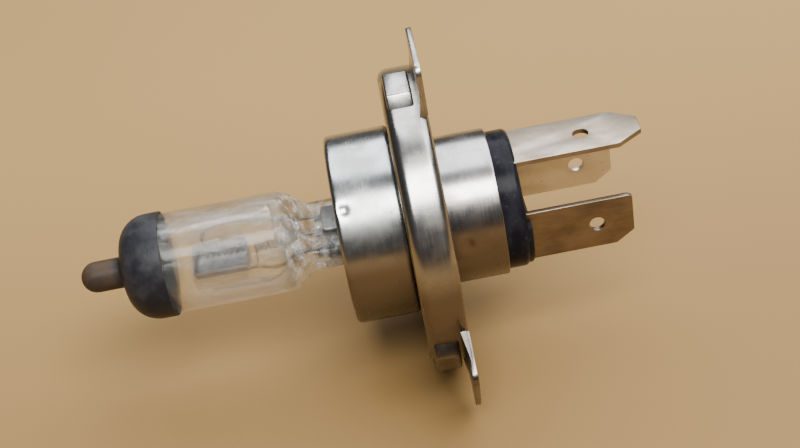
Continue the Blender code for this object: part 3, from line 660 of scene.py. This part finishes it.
# %% Black cap
COAT_GAP = 0.1 * MM
coat_outer = nose(COAT_HIGH.z - GLASS_RADIUS) + [(COAT_HIGH.x - 0.12 * MM, COAT_HIGH.z)]
coat_edge = curve(COAT_HIGH.x - 0.12 * MM, COAT_HIGH.z - 0.12 * MM, 0.12 * MM, 90, 0, 4)[1:]
coat_inner = [(COAT_HIGH.x, GLASS_RADIUS + COAT_GAP)] + nose(COAT_GAP)[::-1]
cap = draw_round("black_cap", coat_outer + coat_edge + coat_inner)
finish_piece(cap, heat_paint, "black_coating", "antiglare_coating")

# %% [markdown]
# ## Wires, coils and foils
# The filaments and leads already have the right routes in the design, only faceted.
# A copy is merged into one skin, subdivided once and shaded smoothly, which keeps the
# route and rounds the wire.

# %% Round off the wires
def round_copy(name, node, levels):
    """A smooth copy of one piece of the design."""
    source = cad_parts[node]
    piece = bpy.data.objects.new(name, source.data.copy())
    bpy.context.collection.objects.link(piece)
    settle(piece, outwards=False)
    if levels:
        apply_modifier(piece, "SUBSURF", levels=levels, render_levels=levels)
        bpy.ops.object.shade_smooth_by_angle(angle=SHARP)
    return piece


WIRES = {
    "low_beam_filament": ("tungsten", tungsten), "high_beam_filament": ("tungsten", tungsten),
    "inner_lead_ground": ("molybdenum", molybdenum), "inner_lead_high": ("molybdenum", molybdenum),
    "inner_lead_low": ("molybdenum", molybdenum), "outer_lead_ground": ("spring_steel", spring_steel),
    "outer_lead_high": ("spring_steel", spring_steel), "outer_lead_low": ("spring_steel", spring_steel)}
for node, (slot, finish) in WIRES.items():
    finish_piece(round_copy(f"{node}_wire", node, 1), finish, slot, node)

# %% [markdown]
# The shield and the foils are thin folded strip. Their edges are what catches light, so
# they are softened instead of subdivided.

# %% Shield and foils
STRIP_EDGES = {"low_beam_shield": 0.05 * MM, "foil_ground": 0.02 * MM,
               "foil_high": 0.02 * MM, "foil_low": 0.02 * MM}
for node, width in STRIP_EDGES.items():
    strip = round_copy(f"{node}_strip", node, 0)
    apply_modifier(strip, "DECIMATE", decimate_type="DISSOLVE", angle_limit=math.radians(1))
    soften(strip, width, 2)
    finish_piece(settle(strip, outwards=False), molybdenum, "molybdenum", node)

# %% [markdown]
# ## The front sleeve
# A drawn cup whose mouth is rolled inwards, so the front shows a bright round lip and
# then darkness. The side is divided finely, because the punch marks need points to
# move.

# %% Front sleeve
SLEEVE_LOW, SLEEVE_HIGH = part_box("front_sleeve")
SLEEVE_WALL = 0.5 * MM
SLEEVE_LIP = 0.7 * MM
WEB_HOLE = 9.2 * MM
FOOT_ROUND = 0.5 * MM
DIMPLE_COUNT = 3
sleeve_radius = SLEEVE_HIGH.z
sleeve_rear = RING_LOW.x
lip_x, lip_r = SLEEVE_LOW.x + SLEEVE_LIP, sleeve_radius - SLEEVE_LIP
foot_x = sleeve_rear - FOOT_ROUND
sleeve_row = curve(lip_x, lip_r, SLEEVE_LIP, 180, 90)
sleeve_row += stations(lip_x, foot_x, sleeve_radius, 0.35 * MM)
sleeve_row += curve(foot_x, sleeve_radius - FOOT_ROUND, FOOT_ROUND, 90, 0, 5)
sleeve_row += [(sleeve_rear, WEB_HOLE), (sleeve_rear - SLEEVE_WALL, WEB_HOLE)]
sleeve_row += [(sleeve_rear - SLEEVE_WALL, sleeve_radius - SLEEVE_WALL)]
sleeve_row += curve(lip_x, lip_r, SLEEVE_LIP - SLEEVE_WALL, 90, 180, 4)
sleeve = draw_round("front_sleeve_skin", sleeve_row, steps=180, closed=True)
for turn in range(DIMPLE_COUNT):
    angle = math.radians(41 + 360 / DIMPLE_COUNT * turn)
    punch(sleeve, SLEEVE_LOW.x + 1.5 * MM, angle, 0.30 * MM, 1.2 * MM)
finish_piece(settle(sleeve), sleeve_nickel, "plated_steel", "front_sleeve")

# %% [markdown]
# ## The holder inside the sleeve
# A cup of spring steel closes the sleeve's mouth. It has an opening for the pinch, and
# two tongues lie along the flat glass and hold it.

# %% Holder
CLAMP_LOW, CLAMP_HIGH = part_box("pinch_clamp")
CLAMP_WALL = 0.4 * MM
CLAMP_FACE = SLEEVE_LOW.x + 0.9 * MM
CLAMP_ROUND = 0.5 * MM
PINCH_GAP = 0.3 * MM
TONGUE_WIDTH = 5.6 * MM
clamp_radius = CLAMP_HIGH.z
clamp_row = [(CLAMP_FACE, 0.0), (CLAMP_FACE, 4 * MM)]
clamp_row += curve(CLAMP_FACE + CLAMP_ROUND, clamp_radius - CLAMP_ROUND, CLAMP_ROUND, 180, 90, 5)
clamp_row += [(CLAMP_HIGH.x, clamp_radius), (CLAMP_HIGH.x, clamp_radius - CLAMP_WALL)]
clamp_row += [(CLAMP_FACE + CLAMP_ROUND, clamp_radius - CLAMP_WALL)]
clamp_row += [(CLAMP_FACE + CLAMP_WALL, clamp_radius - CLAMP_ROUND), (CLAMP_FACE + CLAMP_WALL, 0.0)]
holder = draw_round("pinch_holder", clamp_row)


def add_block(name, low, high):
    """A block between two corners, the start of a flat piece."""
    begin()
    low, high = Vector(low), Vector(high)
    bpy.ops.mesh.primitive_cube_add(size=1.0, location=(low + high) / 2)
    block = bpy.context.object
    block.name = name
    block.scale = high - low
    bpy.ops.object.transform_apply(location=True, rotation=True, scale=True)
    return block


opening_width = PINCH_HALF_WIDTH + PINCH_GAP
opening_height = PINCH_HALF_HEIGHT + PINCH_GAP
combine(holder, add_block("opening", (CLAMP_FACE - 1 * MM, -opening_width, -opening_height),
        (CLAMP_HIGH.x + 1 * MM, opening_width, opening_height)), "DIFFERENCE")
print("holder's opening in mm:", 2 * opening_width / MM, 2 * opening_height / MM)

# %% Tongues with rounded tips
TONGUE_TIP = 0.9 * MM


def add_tongue(side):
    low, high = sorted((side * opening_height, side * (opening_height + CLAMP_WALL)))
    tongue = add_block("tongue", (CLAMP_LOW.x, -TONGUE_WIDTH / 2, low),
                       (CLAMP_HIGH.x, TONGUE_WIDTH / 2, high))
    bpy.ops.object.mode_set(mode="EDIT")
    pick("EDGE", lambda e: all(abs(v.co.x - CLAMP_LOW.x) < CENTRE_HOLE for v in e.verts)
         and abs(e.verts[0].co.z - e.verts[1].co.z) > CENTRE_HOLE)
    bpy.ops.mesh.bevel(offset=TONGUE_TIP, segments=6)
    bpy.ops.object.mode_set(mode="OBJECT")
    return tongue


for side in (1, -1):
    combine(holder, add_tongue(side), "UNION")
soften(holder, 0.07 * MM, 2)
finish_piece(settle(holder), spring_steel, "spring_steel", "pinch_clamp")

# %% [markdown]
# ## The reference ring
# The ring is one pressing: a flat front, a rounded corner, a band, and three lugs that
# stand out behind. The band is drawn round. One lug, the bend at its root and its
# raised pad are shaped from blocks, copied twice, and joined on.

# %% Band
RING_WALL = 0.8 * MM
RING_RADIUS = 21.5 * MM
RING_CORNER = 1.5 * MM
RING_ROLL = 1.3 * MM
LUG_THICKNESS = 0.8 * MM
ring_inner = RING_RADIUS - RING_WALL
ring_row = [(RING_LOW.x, WEB_HOLE)]
ring_row += curve(RING_LOW.x + RING_CORNER, RING_RADIUS - RING_CORNER, RING_CORNER, 180, 90)
roll_x, roll_r = LUG_THICKNESS - RING_ROLL, RING_RADIUS - RING_ROLL
ring_row += stations(RING_LOW.x + RING_CORNER, roll_x, RING_RADIUS, 0.6 * MM)
ring_row += curve(roll_x, roll_r, RING_ROLL, 90, 0)
ring_row += curve(roll_x, roll_r, RING_ROLL - RING_WALL, 0, 90, 5)
inner_bend = RING_CORNER - RING_WALL
ring_row += curve(RING_LOW.x + RING_WALL + inner_bend, ring_inner - inner_bend, inner_bend, 90, 180, 5)
ring_row += [(RING_LOW.x + RING_WALL, WEB_HOLE)]
ring = draw_round("lugged_ring", ring_row, steps=240, closed=True)

# %% One lug, its bend and its pad
LUG_COUNT = 3
LUG_REACH = 28.0 * MM
LUG_WIDTH = 12.0 * MM
LUG_CORNER = 1.6 * MM
PAD_WIDTH = 8.0 * MM
PAD_HEIGHT = 1.3 * MM
PAD_FRONT, PAD_REAR = -4.4 * MM, -0.8 * MM
SEAT_MARGIN = 0.2 * MM
BEND_FLARE = 0.2 * MM
lug_root, pad_root = roll_r + RING_WALL * 0.4, ring_inner + RING_WALL * 0.4


def upright(edge):
    """True for an edge along the bulb at the outer end of a lug."""
    return all(v.co.z > LUG_REACH - CENTRE_HOLE for v in edge.verts) and (
        abs(edge.verts[0].co.x - edge.verts[1].co.x) > CENTRE_HOLE)


def add_bend():
    """A wedge at a lug's root: the metal is thicker there, up to where the flat seat starts."""
    half, across = LUG_THICKNESS / 2, LUG_WIDTH / 2 + BEND_FLARE
    top = 2 * (RING_RADIUS + PAD_HEIGHT + SEAT_MARGIN) - lug_root
    bend = add_block("bend", (-half, -across, lug_root), (half, across, top))
    bpy.ops.object.mode_set(mode="EDIT")
    pick("VERT", lambda v: v.co.x < 0 and v.co.z > lug_root + CENTRE_HOLE)
    bpy.ops.transform.translate(value=(2 * half, 0, 0))
    bpy.ops.mesh.select_all(action="SELECT")
    bpy.ops.mesh.remove_doubles(threshold=CENTRE_HOLE)
    bpy.ops.object.mode_set(mode="OBJECT")
    return bend


def add_lug():
    lug = add_block("lug", (0, -LUG_WIDTH / 2, lug_root), (LUG_THICKNESS, LUG_WIDTH / 2, LUG_REACH))
    bpy.ops.object.mode_set(mode="EDIT")
    pick("EDGE", upright)
    bpy.ops.mesh.bevel(offset=LUG_CORNER, segments=8)
    bpy.ops.object.mode_set(mode="OBJECT")
    soften(lug, 0.12 * MM, 2)
    return lug


def add_pad():
    top = RING_RADIUS + PAD_HEIGHT
    pad = add_block("pad", (PAD_FRONT, -PAD_WIDTH / 2, pad_root), (PAD_REAR, PAD_WIDTH / 2, top))
    bpy.ops.object.mode_set(mode="EDIT")
    pick("FACE", lambda f: f.normal.z > 0.9)
    share = (PAD_WIDTH - 2 * PAD_HEIGHT) / PAD_WIDTH
    bpy.ops.transform.resize(value=(1, share, 1), center_override=(0, 0, top))
    bpy.ops.object.mode_set(mode="OBJECT")
    soften(pad, 0.30 * MM, 3)
    return pad


def turned_copy(piece, angle):
    """A copy with its own mesh, turned round the bulb's axis."""
    copy = piece.copy()
    copy.data = piece.data.copy()
    bpy.context.collection.objects.link(copy)
    copy.data.transform(Matrix.Rotation(angle, 4, "X"))
    return copy


for shape in (add_lug(), add_bend(), add_pad()):
    for turn in range(LUG_COUNT):
        combine(ring, turned_copy(shape, math.tau * turn / LUG_COUNT), "UNION")
    bpy.data.objects.remove(shape, do_unlink=True)
finish_piece(settle(ring), ring_nickel, "plated_steel", "reference_ring")

# %% [markdown]
# ## The rear shell
# A second drawn cup, welded to the back of the ring by its flange. Three punch marks
# in its side hold the black plug.

# %% Rear shell
SHELL_LOW, SHELL_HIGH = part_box("rear_shell")
SHELL_RADIUS = 10.65 * MM
SHELL_WALL = 0.4 * MM
SHELL_EDGE = 0.2 * MM
ROOT_BEND = 0.5 * MM
shell_front, shell_back = RING_LOW.x + RING_WALL, SHELL_LOW.x + SHELL_WALL
shell_row = [(shell_front, SHELL_RADIUS - SHELL_WALL), (shell_front, SHELL_HIGH.z - 0.1 * MM)]
shell_row += [(shell_front + 0.1 * MM, SHELL_HIGH.z), (shell_back, SHELL_HIGH.z)]
shell_row += curve(shell_back + ROOT_BEND, SHELL_RADIUS + ROOT_BEND, ROOT_BEND, 180, 270, 6)
shell_row += stations(shell_back + ROOT_BEND, SHELL_HIGH.x - SHELL_EDGE, SHELL_RADIUS, 0.35 * MM)
shell_row += curve(SHELL_HIGH.x - SHELL_EDGE, SHELL_RADIUS - SHELL_EDGE, SHELL_EDGE, 90, 0, 4)
shell_row += [(SHELL_HIGH.x, SHELL_RADIUS - SHELL_WALL)]
shell_row += stations(SHELL_HIGH.x, shell_front, SHELL_RADIUS - SHELL_WALL, 0.8 * MM)
shell = draw_round("rear_shell_skin", shell_row, steps=150, closed=True)
for turn in range(DIMPLE_COUNT):
    angle = math.radians(82 + 360 / DIMPLE_COUNT * turn)
    punch(shell, 3.0 * MM, angle, 0.22 * MM, 1.5 * MM)
finish_piece(settle(shell), shell_nickel, "plated_steel", "rear_shell")

# %% [markdown]
# ## The three blades
# Each blade is a strip with cut corners and a hole. It starts as a block, a bisect
# adds a rim where the cut begins, and moving the end points inwards makes the cut. The
# top blade tapers evenly. The side blades lose much of their lower corner and almost
# nothing of the upper one.

# %% Shape a blade
BLADE_THICKNESS = 0.8 * MM
HOLE_RADIUS = 1.1 * MM
HOLE_AT = 21.6 * MM
TOP_CUT = (3.6 * MM, 2.4 * MM)
SIDE_LOWER_CUT = (2.6 * MM, 1.9 * MM)
SIDE_UPPER_CUT = (0.6 * MM, 0.4 * MM)


def cut_corner(block, end, across_axis, edge, cut):
    """Slope one end corner of a flat block; edge is where that long side lies."""
    along, across = cut
    inwards = Vector((0, 0, 0))
    inwards[across_axis] = -math.copysign(across, edge - centre_line(block, across_axis))
    make_only(block)
    bpy.ops.object.mode_set(mode="EDIT")
    bpy.ops.mesh.select_all(action="SELECT")
    bpy.ops.mesh.bisect(plane_co=(end - along, 0, 0), plane_no=(1, 0, 0))
    pick("VERT", lambda v: abs(v.co.x - end) < CENTRE_HOLE
         and abs(v.co[across_axis] - edge) < CENTRE_HOLE)
    bpy.ops.transform.translate(value=tuple(inwards))
    bpy.ops.object.mode_set(mode="OBJECT")


def centre_line(block, across_axis):
    values = [v.co[across_axis] for v in block.data.vertices]
    return (min(values) + max(values)) / 2


def add_blade(name, node, across_axis, cuts, finish):
    """Cut corners and hole for one blade, at the place the design gives it."""
    low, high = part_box(node)
    blade = add_block(name, low, high)
    cut_corner(blade, high.x, across_axis, low[across_axis], cuts[0])
    cut_corner(blade, high.x, across_axis, high[across_axis], cuts[1])
    middle = (low + high) / 2
    middle.x = HOLE_AT
    begin()
    turned = (0, 0, 0) if across_axis == 1 else (math.pi / 2, 0, 0)
    bpy.ops.mesh.primitive_cylinder_add(vertices=48, radius=HOLE_RADIUS, rotation=turned,
                                        depth=4 * BLADE_THICKNESS, location=middle)
    punch_pin = bpy.context.object
    bpy.ops.object.transform_apply(location=True, rotation=True, scale=True)
    combine(blade, punch_pin, "DIFFERENCE")
    soften(blade, 0.10 * MM, 3)
    finish_piece(settle(blade), finish, "tinned_blade", node)
    return blade


add_blade("top_blade", "blade_low", 1, (TOP_CUT, TOP_CUT), top_tin)
add_blade("near_blade", "blade_ground", 2, (SIDE_LOWER_CUT, SIDE_UPPER_CUT), near_tin)
add_blade("far_blade", "blade_high", 2, (SIDE_LOWER_CUT, SIDE_UPPER_CUT), far_tin)

# %% [markdown]
# ## The black plug
# The plug is a short round moulding whose lower half stands out a little further. Slots
# a hair wider than the blades go right through it.

# %% Plug
PLUG_LOW, PLUG_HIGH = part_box("insulator")
PLUG_RADIUS = 10.0 * MM
PLUG_REAR = 11.7 * MM
PLUG_EDGE = 0.8 * MM
STEP_TOP = 1.2 * MM
STEP_INSET = 0.35 * MM
SLOT_GAP = 0.15 * MM
STEP_EDGE = 0.3 * MM
plug_row = [(PLUG_LOW.x, 0.0), (PLUG_LOW.x, 5 * MM), (PLUG_LOW.x, PLUG_RADIUS)]
plug_row += curve(PLUG_REAR - PLUG_EDGE, PLUG_RADIUS - PLUG_EDGE, PLUG_EDGE, 90, 0, 8)
plug_row += [(PLUG_REAR, 5 * MM), (PLUG_REAR, 0.0)]
plug = draw_round("black_plug", plug_row)
step_radius = PLUG_RADIUS - STEP_INSET
step_row = [(PLUG_REAR - PLUG_EDGE, 0.0), (PLUG_REAR - PLUG_EDGE, step_radius)]
step_row += curve(PLUG_HIGH.x - STEP_EDGE, step_radius - STEP_EDGE, STEP_EDGE, 90, 0, 4)
step_row += [(PLUG_HIGH.x, 0.0)]
step = draw_round("lower_step", step_row)
combine(step, add_block("above_step", (5 * MM, -15 * MM, STEP_TOP), (20 * MM, 15 * MM, 15 * MM)),
        "DIFFERENCE")
combine(plug, step, "UNION")
for node in ("blade_low", "blade_ground", "blade_high"):
    low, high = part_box(node)
    gap = Vector((0, SLOT_GAP, SLOT_GAP))
    combine(plug, add_block("slot", low - gap, high + gap), "DIFFERENCE")
finish_piece(settle(plug), moulding, "black_insulation", "insulator")
